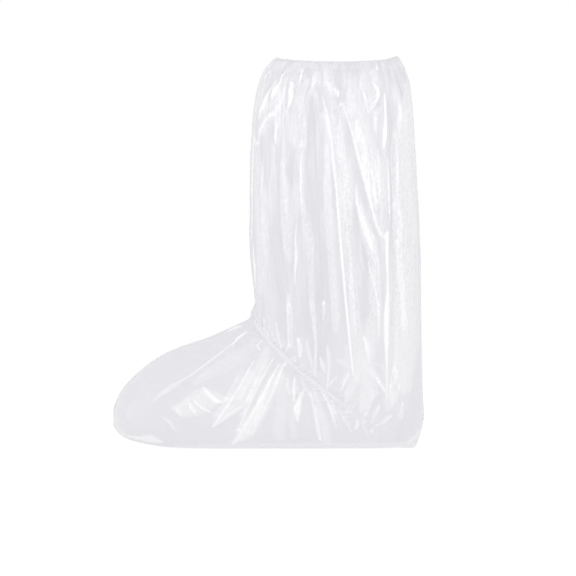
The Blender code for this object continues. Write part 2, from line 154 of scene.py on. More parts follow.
# the folds that the photo shows on the near side. each fold: height in mm, breadth in mm on the
# photo's right and left side of its crest, how strong the painted highlight along the crest is (partly
# the stretched film's whitening, mostly painted glint), and the crest's points from the top: x and y in
# the photo's pixels, and half the painted highlight line's width
photoFolds = {
    "longRidge": (4.2, 12, 14, 1, [(322.5, 100, 0.5), (326, 113, 0.9), (328, 125, 1.5), (331, 140, 0.7),
        (333, 162, 0.9), (336, 190, 1), (339, 232, 1), (341, 255, 1.2), (343, 278, 1), (346, 310, 1.1),
        (348, 330, 1.1), (350, 350, 1), (353, 374, 0.6)]),
    "longRidgeHook": (2.0, 6, 7, 0.3, [(354, 376, 0.8), (353, 386, 1.8), (349, 395, 3.2),
        (344, 403, 1.6)]),
    "longRidgeBranch": (1.4, 4, 5, 0.8, [(348, 373, 0.5), (345, 380, 1), (341, 389, 0.5)]),
    "sweep": (3.6, 13, 9, 1, [(344, 110, 0.5), (351, 134, 0.9), (356, 156, 0.9), (362, 178, 1),
        (366, 190, 1.8), (369, 203, 1.3), (371, 213, 0.9), (375, 226, 1.1), (380, 235, 1.9),
        (384, 237, 0.6)]),
    "backRidge": (3.4, 10, 9, 0, [(385, 88), (384, 145), (387, 210), (385, 262), (386, 295), (385, 335),
        (385, 362), (386, 397)]),
    "lowSweep": (2.4, 9, 7, 0, [(355, 190), (358, 215), (369, 248), (374, 285), (378, 334)]),
    "frontSlant": (2.0, 7, 7, 1, [(277, 82, 0.4), (268, 97, 1.2), (263, 109, 1.4), (259, 118, 0.8)]),
    "frontSlantInner": (1.8, 5, 6, 0.85, [(286, 74, 0.4), (281, 84, 1), (276, 93, 1.7), (272, 102, 0.4)]),
    "frontSlantLow": (2.2, 8, 7, 0.85, [(274, 112, 0.4), (267, 120, 1.3), (262, 130, 1.2),
        (259, 139, 0.5)]),
    "frontSlantTop": (1.2, 4, 4, 0.8, [(273, 70, 0.3), (265, 78, 0.7)]),
    "pleatA": (2.4, 5, 6, 1, [(292, 85, 1.6), (292, 98, 1.9), (290, 106, 1.3), (288, 112, 0.4)]),
    "pleatB": (1.6, 4, 4, 0.95, [(302, 72, 0.9), (301, 79, 0.7), (299, 87, 0.3)]),
    "pleatC": (1.4, 4, 4, 1, [(276, 126, 0.4), (276, 138, 1.1), (276, 145, 0.3)]),
    "pleatD": (2.0, 4, 5, 0.8, [(327, 79, 0.4), (329, 90, 0.9), (331, 96, 0.4)]),
    "nickA": (1.4, 4, 4, 1, [(333, 88, 0.4), (337, 95, 2.1), (338, 98, 0.3)]),
    "nickB": (1.4, 4, 4, 0.85, [(338, 104, 0.8), (342, 107, 1.3), (345, 111, 0.3)]),
    "pleatE": (2.0, 6, 6, 0.95, [(360, 86, 0.3), (364, 98, 0.9), (368, 114, 0.4)]),
    "pleatF": (2.4, 6, 7, 1, [(371, 83, 0.4), (375, 90, 1.6), (377, 95, 2.2), (375, 102, 0.8),
        (370, 111, 0.3)]),
    "pleatG": (1.4, 4, 4, 0.9, [(375, 63, 0.6), (376, 71, 0.5)]),
    "thinLine": (1.4, 4, 5, 0.9, [(396, 143, 0.3), (396, 165, 0.7), (396, 198, 0.4)]),
    "backEdge": (2.6, 7, 8, 0, [(393, 76), (402, 108), (405, 150)]),
    "backFold": (1.4, 6, 6, 0, [(405, 200), (400, 235), (405, 300), (406, 350)]),
    "softFront": (1.8, 8, 10, 0, [(260, 160), (260, 215), (262, 290)]),
    "softMid": (2.2, 9, 9, 0, [(303, 140), (301, 200), (297, 240), (296, 285)]),
    "softLow": (1.8, 7, 7, 0, [(308, 236), (311, 275), (314, 318)]),
    "softHigh": (1.8, 9, 8, 0, [(284, 120), (284, 170), (287, 250)]),
    "hollowMid": (-3.6, 11, 9, 0, [(313, 92), (315, 150), (316, 215), (321, 290), (320, 345)]),
    "hollowFront": (-2.2, 8, 8, 0, [(276, 155), (277, 215), (282, 285)]),
    "hollowHigh": (-1.6, 7, 7, 0, [(293, 150), (294, 192)]),
    "hollowBack": (-1.8, 5, 4, 0, [(389, 106), (391, 150), (392, 262)]),
    "hollowSweep": (-1.6, 5, 6, 0, [(354, 205), (360, 240), (366, 280)]),
    "aboveAnkleA": (2.2, 5, 6, 0.8, [(288, 300, 0.4), (289, 320, 0.7), (289, 345, 0.5)]),
    "aboveAnkleB": (2.2, 6, 5, 0.35, [(310, 300, 1.5), (314, 320, 1.8), (316, 345, 1.3), (315, 374, 1.5)]),
    "aboveAnkleC": (1.6, 5, 5, 0.35, [(323, 300, 1), (323, 310, 2.2), (322, 320, 1)]),
    "aboveAnkleD": (1.8, 5, 5, 0.35, [(327, 346, 0.8), (329, 365, 1.6), (327, 386, 1)]),
    "aboveAnkleE": (1.6, 5, 4, 0.6, [(298, 338, 1), (300, 347, 2.6), (300, 356, 1.5)]),
    "aboveAnkleF": (1.6, 6, 6, 0.75, [(363, 335, 0.5), (366, 350, 1.6), (369, 362, 0.6)]),
    "heelDiamond": (1.6, 7, 8, 0, [(364, 364), (381, 391), (362, 407)]),
    "instepRidge": (2.8, 10, 10, 0, [(246, 332), (233, 346), (220, 355), (205, 366), (183, 381),
        (150, 402)]),
    "instepBand": (1.6, 7, 7, 0, [(257, 343), (226, 362), (190, 386)]),
    "rayA": (3.0, 9, 9, 0.9, [(254, 361, 0.5), (244, 380, 0.8), (236, 394, 0.7), (228, 406, 1.1),
        (213, 426, 0.6)]),
    "rayAReturn": (1.8, 6, 6, 0.8, [(242, 405, 0.5), (232, 412, 1), (222, 420, 0.8), (213, 426, 0.4)]),
    "rayB": (2.4, 6, 7, 0.75, [(274, 357, 0.6), (266, 372, 0.7), (254, 396, 0.5), (246, 412, 0.7),
        (240, 425, 0.5)]),
    "rayC": (3.4, 7, 8, 1, [(279, 364, 0.5), (270, 382, 1.2), (262, 398, 1.5), (254, 412, 1.6),
        (244, 427, 1), (233, 443, 0.6)]),
    "rayD": (2.8, 6, 7, 0.95, [(286, 361, 0.7), (279, 376, 1), (272, 394, 0.8), (265, 408, 1.1),
        (252, 434, 0.5)]),
    "rayE": (1.6, 4, 4, 0.7, [(288, 373, 0.5), (289, 392, 0.6)]),
    "rayF": (2.6, 5, 6, 1, [(294.5, 378, 0.9), (294, 390, 1), (294, 400, 0.7)]),
    "rayG": (2.0, 4, 5, 0.95, [(303, 390, 0.5), (299, 402, 2), (297, 408, 3.2), (297.5, 421, 0.5)]),
    "rayH": (2.6, 6, 5, 1, [(310, 390, 0.5), (314, 408, 0.9), (318, 428, 1.2), (320, 439, 0.9)]),
    "rayI": (2.0, 5, 5, 0.85, [(320, 388, 0.3), (327, 400, 0.7), (331, 410, 1.3), (336, 426, 0.4)]),
    "rayJ": (1.8, 5, 5, 0.6, [(338, 408, 0.3), (345, 420, 0.8), (351, 431, 0.3)]),
    "crumpleA": (2.0, 5, 6, 0.95, [(203, 386, 0.5), (210, 394, 2.2), (216, 400, 2.6), (223, 402, 0.5)]),
    "crumpleB": (1.6, 4, 4, 0.9, [(189, 399, 0.5), (192, 407, 1.2), (197, 414, 0.4)]),
    "crumpleC": (1.4, 4, 4, 0.65, [(177, 404, 0.5), (179, 411, 1.1), (182, 415, 0.4)]),
    "crumpleD": (1.6, 4, 5, 0.85, [(194, 399, 0.4), (202, 407, 1.4), (212, 412, 0.4)]),
    "crumpleE": (1.2, 5, 4, 0.35, [(163, 416, 0.4), (170, 421, 1.8), (177, 430, 0.5)]),
    "heelA": (1.4, 5, 5, 0.32, [(371, 394, 2.5), (369, 404, 2.2), (366, 413, 1)]),
    "heelD": (1.2, 4, 4, 0.32, [(379, 405, 1), (375, 412, 2.2), (372, 421, 1.2)]),
    "heelE": (1.0, 4, 4, 0.32, [(363, 419, 1), (363, 427, 1.2), (366, 431, 0.8)]),
    "heelF": (1.2, 4, 4, 0.32, [(375, 425, 0.8), (384, 421, 1.5), (392, 414, 0.6)]),
    "toeGlint": (1.2, 6, 5, 0.5, [(127, 435, 0.6), (143, 437, 2), (152, 438, 4), (164, 441, 0.6)]),
}

# painted light and shade on the film between its crests, as bands that widen and narrow: paler bands
# are painted sheen and highlights, clearer ones painted shade in the valleys and hollows. each band: how
# white (clearer, for painted shade, below 0), then points of x, y and half its width, in pixels
paintedLightBands = {
    "valley": (-0.8, [(313, 88, 5), (315, 105, 9), (315, 130, 9), (314, 150, 8), (315, 175, 7),
        (316, 200, 6), (315, 215, 6), (317, 235, 5), (320, 262, 9), (322, 290, 9), (322, 312, 9),
        (320, 335, 8), (318, 365, 6)]),
    "valleyFront": (-0.7, [(275, 148, 3), (277, 175, 5), (277, 195, 6), (276, 215, 4), (277, 235, 5),
        (281, 262, 7), (283, 285, 4), (283, 302, 3)]),
    "valleyHigh": (-0.7, [(293, 148, 3), (293, 165, 6), (294, 180, 6), (297, 194, 2)]),
    "hemShade": (0.14, [(268, 65, 3), (290, 65, 5), (340, 66, 5), (380, 65, 5), (403, 64, 3)]),
    "hemShadeFront": (-0.6, [(288, 70, 3), (296, 76, 4), (289, 92, 2)]),
    "hemShadeMid": (-0.7, [(335, 70, 5), (337, 80, 4), (343, 90, 4), (343, 104, 2)]),
    "ridgeShade": (-0.7, [(322, 90, 0.8), (330, 118, 0.9), (334, 146, 0.7)]),
    "sweepShade": (-0.6, [(346, 84, 0.8), (352, 106, 0.9), (355, 118, 0.6)]),
    "sweepEdge": (-0.6, [(344, 120, 0.6), (350, 140, 0.9), (357, 170, 0.9), (363, 190, 0.6)]),
    "pleatEdge": (-0.8, [(361, 86, 0.8), (368, 108, 1.2), (371, 125, 1), (376, 142, 1.4),
        (380, 158, 1.1), (383, 196, 0.8)]),
    "backShade": (-0.8, [(387, 105, 1), (388, 118, 2.4), (390, 132, 3.4), (391, 150, 3.2),
        (391, 168, 1.4)]),
    "backLine": (-0.8, [(393, 165, 0.6), (393, 210, 0.9), (392, 262, 0.6)]),
    "backHigh": (-0.7, [(394, 74, 3), (398, 90, 3), (401, 108, 1.5)]),
    "lowShade": (-0.7, [(353, 204, 1), (356, 222, 3), (361, 245, 3), (365, 270, 2), (366, 286, 1)]),
    "lowShadeBack": (-0.6, [(376, 240, 3), (380, 256, 4), (382, 280, 2), (382, 318, 1)]),
    "lowShadeWide": (-0.5, [(355, 284, 2), (361, 300, 5), (362, 314, 4)]),
    "backDusk": (-0.15, [(416, 345, 4), (416, 400, 6)]),
    "heelPale": (0.2, [(389, 300, 3), (390, 335, 6), (391, 365, 8), (391, 392, 8), (388, 406, 4)]),
    "heelPaleLow": (0.16, [(346, 345, 2), (350, 368, 6), (352, 392, 8), (349, 408, 4)]),
    "heelDusk": (-0.2, [(395, 404, 6), (405, 424, 10), (404, 444, 8)]),
    "midDusk": (-0.4, [(301, 260, 3), (303, 280, 3), (304, 300, 4), (305, 330, 6)]),
    "frontPale": (0.23, [(257, 146, 2), (259, 170, 4), (259, 200, 4), (263, 225, 5), (263, 262, 5),
        (261, 292, 3)]),
    "midPale": (0.23, [(283, 160, 2), (284, 195, 4), (286, 225, 6), (288, 250, 4), (290, 262, 2)]),
    "streakPale": (0.21, [(301, 100, 3), (303, 130, 4), (303, 160, 3), (302, 200, 2), (306, 222, 4),
        (309, 240, 4), (310, 262, 3), (311, 290, 3), (314, 325, 2)]),
    "ridgePale": (0.2, [(326, 146, 2), (327, 185, 4), (328, 225, 3), (331, 262, 3), (333, 290, 4),
        (335, 330, 3)]),
    "ridgeBright": (0.25, [(333, 104, 3), (338, 140, 5), (342, 170, 7), (345, 200, 8), (346, 230, 6),
        (349, 262, 5), (352, 290, 5), (355, 320, 5), (358, 350, 6), (358, 380, 5)]),
    "sweepBright": (0.22, [(348, 90, 2), (354, 116, 6), (362, 140, 9), (370, 165, 10), (374, 190, 9),
        (378, 212, 6), (381, 230, 3)]),
    "lowBright": (0.26, [(358, 206, 3), (367, 238, 6), (374, 262, 5), (373, 285, 6), (375, 310, 5),
        (370, 335, 8), (366, 360, 7), (368, 385, 8), (362, 408, 4)]),
    "backBright": (0.33, [(404, 100, 4), (403, 135, 9), (403, 160, 11), (403, 190, 11), (403, 220, 12),
        (404, 250, 12), (404, 280, 13), (404, 310, 13), (404, 345, 12), (403, 385, 8)]),
    "backRim": (0.25, [(405, 84, 2), (409, 110, 4), (412, 150, 4)]),
    "slantPale": (0.2, [(287, 72, 2), (281, 88, 5), (275, 104, 6), (266, 124, 4), (259, 140, 2)]),
    "pleatPale": (0.26, [(372, 74, 3), (377, 86, 5), (374, 100, 4), (369, 114, 1)]),
    "topPale": (0.25, [(326, 68, 2), (327, 80, 3), (332, 96, 3)]),
    "topSpot": (0.55, [(313, 78, 1), (313, 84, 2.2), (312, 89, 0.6)]),
    "ridgeEcho": (0.6, [(337, 108, 0.3), (341, 130, 0.5), (344, 150, 0.5), (346, 175, 0.4),
        (343, 197, 0.7), (346, 220, 0.8), (348, 240, 0.7), (350, 262, 0.6), (352, 285, 0.8),
        (354, 315, 0.9), (355, 334, 0.4)]),
    "sweepGlow": (0.6, [(366, 182, 1), (371, 190, 3), (375, 200, 2), (377, 206, 0.6)]),
    "streakBack": (0.6, [(377, 150, 0.4), (378, 175, 0.9), (379, 190, 1.2), (377, 206, 0.5)]),
    "lowLine": (0.8, [(355, 188, 0.5), (356, 203, 1.3), (359, 217, 1.4), (364, 233, 1.8),
        (370, 246, 2.6), (371, 252, 0.6)]),
    "lowLineEnd": (0.8, [(367, 262, 0.4), (372, 280, 0.9), (376, 299, 0.7), (378, 320, 0.8),
        (378, 336, 0.3)]),
    "backLineHigh": (0.95, [(384, 95, 0.5), (384, 115, 0.8), (383, 136, 1.5), (382, 147, 0.6)]),
    "backLineMid": (0.65, [(385, 158, 0.4), (386, 185, 0.9), (387, 212, 0.6), (387, 222, 0.3)]),
    "backLineLow": (0.9, [(385, 234, 1.2), (385, 262, 1.3), (386, 278, 1), (386, 295, 1.5),
        (385, 315, 2.5), (385, 336, 2.2), (385, 355, 1.3), (386, 375, 0.6), (386, 397, 0.4)]),
    "backFlecks": (0.5, [(401, 106, 0.3), (404, 122, 0.6), (404, 142, 0.4)]),
    "backFlecksLow": (0.5, [(402, 203, 0.3), (398, 224, 0.7), (397, 250, 0.4)]),
    "backFlecksEnd": (0.9, [(404, 311, 0.3), (406, 320, 0.7), (406, 330, 0.3)]),
    "slantSide": (0.5, [(266, 85, 0.3), (261, 93, 0.6)]),
    "slantSpot": (1, [(254, 139, 0.5), (256, 142, 1.1), (259, 143, 0.4)]),
    "seamLine": (0.8, [(254, 136, 0.3), (253, 160, 0.6), (252.5, 190, 0.7), (252.5, 215, 0.5),
        (251.5, 238, 0.3)]),
    "seamSliver": (0.8, [(253.5, 244, 0.3), (253.5, 255, 0.6), (254.5, 265, 1), (255, 275, 0.8),
        (255, 287, 0.3)]),
    "streakLine": (0.75, [(301, 160, 0.3), (301, 185, 0.7), (302, 200, 0.9), (302, 214, 0.4)]),
    "streakLineLow": (0.75, [(297, 226, 0.3), (296, 242, 0.8), (297, 258, 1.3), (295, 275, 0.8),
        (295, 286, 0.3)]),
    "abovePaleA": (0.26, [(288, 296, 2), (291, 318, 3), (290, 346, 2)]),
    "aboveFlecksEnd": (0.29, [(372, 362, 0.5), (383, 367, 0.9)]),
    "instepLine": (0.6, [(235, 343, 0.5), (220, 355, 0.7), (205, 366, 0.7), (194, 374, 0.6),
        (183, 381, 0.5)]),
    "instepHead": (0.95, [(246, 332, 0.6), (239, 338, 1.4), (233, 346, 0.5)]),
    "instepWedge": (0.33, [(186, 379, 0.4), (174, 386, 2.6), (165, 392, 2.2), (153, 401, 0.4)]),
    "instepSpot": (0.55, [(228, 331, 0.5), (234, 328, 1.8), (241, 326, 1)]),
    "instepPale": (0.14, [(252, 346, 4), (238, 358, 6), (222, 367, 6), (196, 382, 3)]),
    "ankleFlecks": (0.7, [(262, 340, 0.5), (257, 345, 0.9), (260, 350, 0.5)]),
    "gatherA": (0.4, [(263, 328, 0.8), (267, 336, 2.6), (271, 345, 0.8)]),
    "gatherB": (0.4, [(276, 322, 0.6), (278, 335, 1.3), (281, 347, 0.5)]),
    "gatherC": (0.35, [(306, 340, 0.5), (309, 353, 2), (312, 366, 1), (316, 376, 0.5)]),
    "gatherD": (0.35, [(320, 357, 0.8), (322, 364, 2.4), (325, 372, 0.8)]),
    "gatherE": (0.25, [(336, 316, 4), (335, 328, 2)]),
    "gatherF": (0.45, [(337, 375, 0.5), (331, 382, 0.8), (327, 388, 0.5)]),
    "gatherG": (0.25, [(338, 360, 1.5), (343, 362, 3), (349, 366, 2)]),
    "gatherH": (0.35, [(302, 378, 0.8), (304, 386, 1.6), (308, 393, 1)]),
    "rayPaleA": (0.3, [(267, 349, 3), (262, 364, 6), (254, 380, 6), (246, 394, 7), (236, 407, 5),
        (226, 416, 3), (214, 426, 0.6)]),
    "rayPaleC": (0.34, [(282, 366, 1), (276, 382, 4), (268, 396, 6), (260, 410, 7), (252, 424, 8),
        (242, 435, 6), (233, 442, 1)]),
    "rayGlowC": (0.6, [(262, 404, 3), (255, 416, 5), (248, 428, 6), (240, 437, 3), (233, 442, 0.8)]),
    "rayPaleE": (0.16, [(284, 376, 2), (282, 400, 6), (279, 434, 6)]),
    "rayPaleF": (0.16, [(291, 398, 2), (292, 420, 3), (294, 436, 3)]),
    "rayPaleH": (0.25, [(313, 386, 1), (318, 402, 3), (323, 420, 4), (327, 440, 4)]),
    "rayPaleI": (0.2, [(326, 390, 1), (333, 405, 2), (340, 424, 1)]),
    "crumplePale": (0.3, [(174, 407, 2), (184, 408, 8), (196, 403, 11), (206, 399, 11), (216, 398, 7),
        (230, 398, 1)]),
    "heelStreakB": (0.26, [(364, 396, 1.5), (362, 409, 0.8)]),
    "heelStreakC": (0.2, [(359, 401, 0.8), (356, 411, 0.5)]),
    "heelStreakG": (0.25, [(367, 432, 0.6), (366, 437, 0.6)]),
    "heelStreakH": (0.25, [(375, 432, 0.5), (378, 436, 0.6)]),
    "heelStreakI": (0.25, [(382, 430, 0.5), (385, 427, 0.6)]),
    "heelStreakJ": (0.25, [(388, 431, 0.5), (391, 434, 0.6)]),
    "heelDotA": (1, [(365, 412, 0.8), (365, 415, 0.6)]),
    "heelDotB": (0.9, [(357, 420, 0.6), (357, 424, 0.9), (355, 428, 0.7)]),
    "heelDotC": (0.8, [(372, 428, 0.4), (371, 430, 0.9), (371, 432, 0.5)]),
    "heelPatch": (0.29, [(419, 429, 0.5), (415, 436, 1.6), (408, 442, 1.4)]),
    "solePale": (0.17, [(170, 447, 2), (205, 447, 4), (330, 447, 5), (413, 446, 4)]),
    "toeSpot": (0.2, [(124, 429, 0.8), (124, 435, 1.8)]),
}

foldShape = {
    "crestRadius": 0.0006,
    "footPower": 1.3,      # over 1 the foot of a fold runs out softly
    "endFade": 0.15,       # share of its length over which a fold runs out at each end
    "shortFade": 0.3,      # the same for a fold with fewer points than shortPoints
    "shortPoints": 4,
    "endBreadth": 0.35,    # share of its breadth that is left at the ends
}

# the side that the photo doesn't show has like folds, but not the same ones
farSide = {
    "squeeze": 0.96,
    "shift": 0.005,
    "foldStep": 2,         # one fold in this many
    "bandStep": 2,         # all faint bands, and all but one in this many of the others
}

# small creases made by chance from a fixed seed: how many, height, breadth and length in mm, where
# round the boot (from the front seam, 0, to the back one, 1), how many mm down the film from their
# line they begin, how far they slant, and how many mm they wander
chanceCreases = {
    "hemRuffle": (52, (0.4, 1.1), (1.4, 2.4), (9, 18), (0.01, 0.99), (-2, 0), 0.12, 0.3),
    "hemPleat": (34, (0.5, 1.6), (2.0, 4.6), (20, 60), (0.02, 0.98), (4, 12), 0.26, 0.8),
    "shaftLong": (44, (0.25, 0.75), (3, 8), (60, 200), (0.03, 0.97), (20, 150), 0.07, 2.0),
    "shaftFine": (130, (0.10, 0.34), (1.4, 3.2), (16, 80), (0.02, 0.98), (20, 240), 0.12, 0.8),
    "ankleRuffle": (56, (0.5, 1.1), (1.3, 2.3), (12, 18), (0.03, 0.68), (-9, -6), 0.25, 0.3),
    "ankleAbove": (34, (0.3, 0.9), (2.0, 4.0), (8, 34), (0.03, 0.70), (0, 3), 0.35, 0.8),
    "ankleBelow": (34, (0.3, 1.0), (2.2, 4.4), (8, 36), (0.03, 0.70), (0, 3), 0.30, 0.8),
    "footLoose": (60, (0.15, 0.6), (2, 7), (14, 60), (0.04, 0.80), (10, 160), 0.6, 1.5),
    "heelLoose": (30, (0.15, 0.55), (2, 6), (14, 50), (0.74, 0.97), (-95, -15), 0.4, 1.2),
}
chanceShape = {
    "scatter": (0.1, 0.9),    # where each one lies in its own share of the way round
    "ways": (1, 1, -0.7),     # out, out, or less far in
    "turn": (1.5, 5),         # radians that it wanders through
    "fade": (0.22, 0.45),     # shares of its length over which it starts and ends
}

# the strip of elastic that the film is gathered along, from the instep towards the heel
ankleStrip = {
    "width": 0.0046,
    "thickness": 0.0004,
    "lift": -0.0001,
    "span": (0.035, 0.60),
    "even": 9,             # columns over which its line is evened out
    "slopeRows": 6,        # rows above and below it that give its slope
    "gatherEnd": (0.74, 0.16),    # the gathers end this far round, and fade over this share
    "gatherStart": 0.03,
    "pinchReach": 0.0060,
    "calm": 0.8,           # how much the pinch flattens the folds that cross it
    "flatten": (0.92, 0.62),      # how much the strip does, and how far, in its own widths
    "legEnd": 0.02,        # the leg's creases fade over this length above it
}


def mix(a, b, share):
    return a + (b - a) * share


def unit(vectors):
    return vectors / np.maximum(np.linalg.norm(vectors, axis=-1, keepdims=True), 1e-12)


def smoothStep(t):
    t = np.clip(t, 0, 1)
    return t * t * (3 - 2 * t)


def spline(values, places):
    last = len(values) - 1
    low = np.minimum(places.astype(int), last - 1)
    t = (places - low)[:, None]
    start, end = values[low], values[low + 1]
    before, after = values[np.maximum(low - 1, 0)], values[np.minimum(low + 2, last)]
    return (
        (2 * t**3 - 3 * t**2 + 1) * start
        + (t**3 - 2 * t**2 + t) * (end - before) / 2
        + (3 * t**2 - 2 * t**3) * end
        + (t**3 - t**2) * (after - start) / 2
    )


def photoPoint(x, y):
    return (x - photo["middleX"]) * photo["pixel"], (photo["groundY"] - y) * photo["pixel"]


# the boot's bare form, as the solids have it

def sectionTable():
    rows = []
    ground = -boot["film"]
    for rise, depth, spread, front, weld in shaftSections:
        z = mix(boot["instepHeight"], boot["height"], rise) + ground
        d = mix(boot["mouthDepth"], boot["shaftDepth"], depth)
        side = mix(boot["mouthWidth"], boot["shaftWidth"], spread) / 2
        rows.append((-d * front, z, d * (1 - front), z, weld, weld, side, 0, 0.5, 0, rise))
    instep = rows[-1][0]
    for frontOut, frontUp, backOut, backUp, side, flat, low, sway, weld in footSections:
        front = mix(instep, -boot["toeReach"], frontOut)
        back = backOut * (boot["heelReach"] if backOut > 0 else boot["toeReach"])
        half = boot["footWidth"] / 2 * side
        rows.append((front, boot["instepHeight"] * frontUp + ground, back,
                     boot["instepHeight"] * backUp + ground, 1, weld, half, half * flat, low, sway, 0))
    return np.array(rows, float)


def finePlaces(table, count):
    # more rows where two sections lie far apart
    front = np.linalg.norm(np.diff(table[:, 0:2], axis=0), axis=1)
    back = np.linalg.norm(np.diff(table[:, 2:4], axis=0), axis=1)
    longer, both, even = filmMesh["rowSteps"]
    reach = np.maximum(front, back) * longer + (front + back) * both + even
    reach[len(shaftSections) - 1 :] *= filmMesh["footDensity"]
    reach[:2] *= filmMesh["hemDensity"]
    distance = np.concatenate([[0], np.cumsum(reach)])
    return np.interp(np.linspace(0, distance[-1], count), distance, np.arange(len(table)))


def halfProfile(chord, side, flat, low, columns):
    turn = np.linspace(0, math.pi / 2, filmMesh["profileSteps"])
    point = bootShape["seamPoint"]
    lowPoint = mix(point, 1, min(1, bootShape["soleRound"] * flat / max(side, 1e-6)))
    along = np.concatenate([chord * low * (1 - np.cos(turn)), chord * mix(low, 1, np.sin(turn)), [chord]])
    out = np.concatenate([side * np.sin(turn) ** point,
                          flat + (side - flat) * np.clip(np.cos(turn), 0, 1) ** lowPoint, [0]])
    length = np.concatenate([[0], np.cumsum(np.hypot(np.diff(along), np.diff(out)))])
    even = np.linspace(0, length[-1], columns)
    return np.interp(even, length, along), np.interp(even, length, out)


def bareForm(rowCount, columnCount):
    table = sectionTable()
    places = finePlaces(table, rowCount)
    fine = spline(table, places)
    front, back = fine[:, 0:2], fine[:, 2:4]
    ahead = unit(np.gradient(front, axis=0))
    frontOut = np.stack([ahead[:, 1], -ahead[:, 0]], axis=1)
    ahead = unit(np.gradient(back, axis=0))
    backOut = np.stack([-ahead[:, 1], ahead[:, 0]], axis=1)
    weldFront, weldBack = np.clip(fine[:, 4], 0, 1), np.clip(fine[:, 5], 0, 1)
    front = front - frontOut * (boot["weldWidth"] * weldFront)[:, None]
    back = back - backOut * (boot["weldWidth"] * weldBack)[:, None]
    grid = np.zeros((rowCount, columnCount, 3))
    edge, earFrom, dipFade = boot["seamGap"], bootShape["earFrom"], bootShape["dipFade"]
    for i in range(rowCount):
        side, flat, low, sway, rise = fine[i, 6:11]
        side, flat, rise = max(side, 0), max(flat, 0), max(rise, 0)
        chord = math.dist(front[i], back[i])
        direction = (back[i] - front[i]) / chord
        toeward = np.array([direction[1], -direction[0]])
        along, out = halfProfile(chord, side, flat, low, columnCount)
        share = along / chord
        bow = chord * sway * bootShape["bowPeak"] * share * (1 - share) ** 2
        xz = front[i] + np.outer(along, direction) + np.outer(bow, toeward)
        dip = boot["mouthDip"] * np.clip(np.sin(math.pi * share), 0, 1) ** bootShape["dipPower"]
        dip -= boot["mouthEar"] * smoothStep((share - earFrom) / (1 - earFrom))
        dip *= max(0, (rise - 1 + dipFade) / dipFade)
        grid[i, :, 0] = xz[:, 0]
        grid[i, :, 1] = -edge - out * max(0, 1 - edge / max(side, edge))
        grid[i, :, 2] = np.maximum(xz[:, 1] - dip, -boot["film"])
    grid = softened(grid, places)
    grid[:, :, 2] = np.maximum(grid[:, :, 2], -boot["film"])
    return {
        "grid": grid, "places": places, "frontOut": frontOut, "backOut": backOut,
        "weldFront": weldFront, "weldBack": weldBack,
    }


def softened(grid, places):
    # the leg runs into the foot without a bend, away from the seams, the rim and the toe
    width = filmMesh["softenRows"] * len(grid)
    reach = int(3 * width)
    weights = np.exp(-((np.arange(-reach, reach + 1) / width) ** 2) / 2)
    weights /= weights.sum()
    padded = np.pad(grid, ((reach, reach), (0, 0), (0, 0)), "edge")
    smooth = sum(w * padded[i : i + len(grid)] for i, w in enumerate(weights))
    share = np.linspace(0, 1, grid.shape[1])
    atFront, atBack = filmMesh["softenInland"]
    inland = smoothStep(share / atFront) * smoothStep((1 - share) / atBack)
    first, last, over = filmMesh["softenSections"]
    middle = smoothStep((places - first) / over) * smoothStep((len(shaftSections) + last - places) / over)
    return mix(grid, smooth, (middle[:, None] * inland)[:, :, None])


def gridNormals(grid):
    return unit(np.cross(np.gradient(grid, axis=0), np.gradient(grid, axis=1)))


# folds and puckers: how far the film is pushed out of its bare form

def crease(across, leftBreadth, rightBreadth):
    breadth = np.where(across < 0, leftBreadth, rightBreadth)
    rounding = foldShape["crestRadius"]
    distance = np.sqrt(across**2 + rounding**2) - rounding
    return np.clip(1 - distance / breadth, 0, 1) ** foldShape["footPower"]


def foldPlace(x, z, path):
    # in side view: signed distance from a path, share of the path above, and its points' shares
    points = np.array([photoPoint(*point[:2]) for point in path])
    runs = np.diff(points, axis=0)
    lengths = np.linalg.norm(runs, axis=1)
    stops = np.concatenate([[0], np.cumsum(lengths)]) / lengths.sum()
    nearest = np.full(x.shape, np.inf)
    signed, place = np.zeros((2, *x.shape))
    for point, run, length, start, end in zip(points, runs, lengths, stops, stops[1:]):
        held = np.clip(((x - point[0]) * run[0] + (z - point[1]) * run[1]) / length**2, 0, 1)
        dx, dz = x - point[0] - held * run[0], z - point[1] - held * run[1]
        distance = np.hypot(dx, dz)
        closer = distance < nearest
        nearest = np.where(closer, distance, nearest)
        signed = np.where(closer, np.sign(dz * run[0] - dx * run[1]) * distance, signed)
        place = np.where(closer, mix(start, end, held), place)
    return signed, place, stops


def foldPush(x, z, height, breadths, crest):
    signed, place, _ = foldPlace(x, z, crest)
    run = foldShape["shortFade" if len(crest) < foldShape["shortPoints"] else "endFade"]
    fade = smoothStep(place / run) * smoothStep((1 - place) / run)
    right, left = (mm / 1000 * mix(foldShape["endBreadth"], 1, fade) for mm in breadths)
    return height / 1000 * fade * crease(signed, left, right)


# a band of painted light: paler for a painted highlight, clearer for painted shade
def paintedLightBand(x, z, paintedLight, points):
    signed, place, stops = foldPlace(x, z, points)
    half = np.interp(place, stops, [point[2] for point in points]) * photo["pixel"]
    soft = filmLook["toneEdge"] * np.maximum(half, photo["pixel"])
    return paintedLight * smoothStep((half - np.abs(signed)) / soft + 0.5)


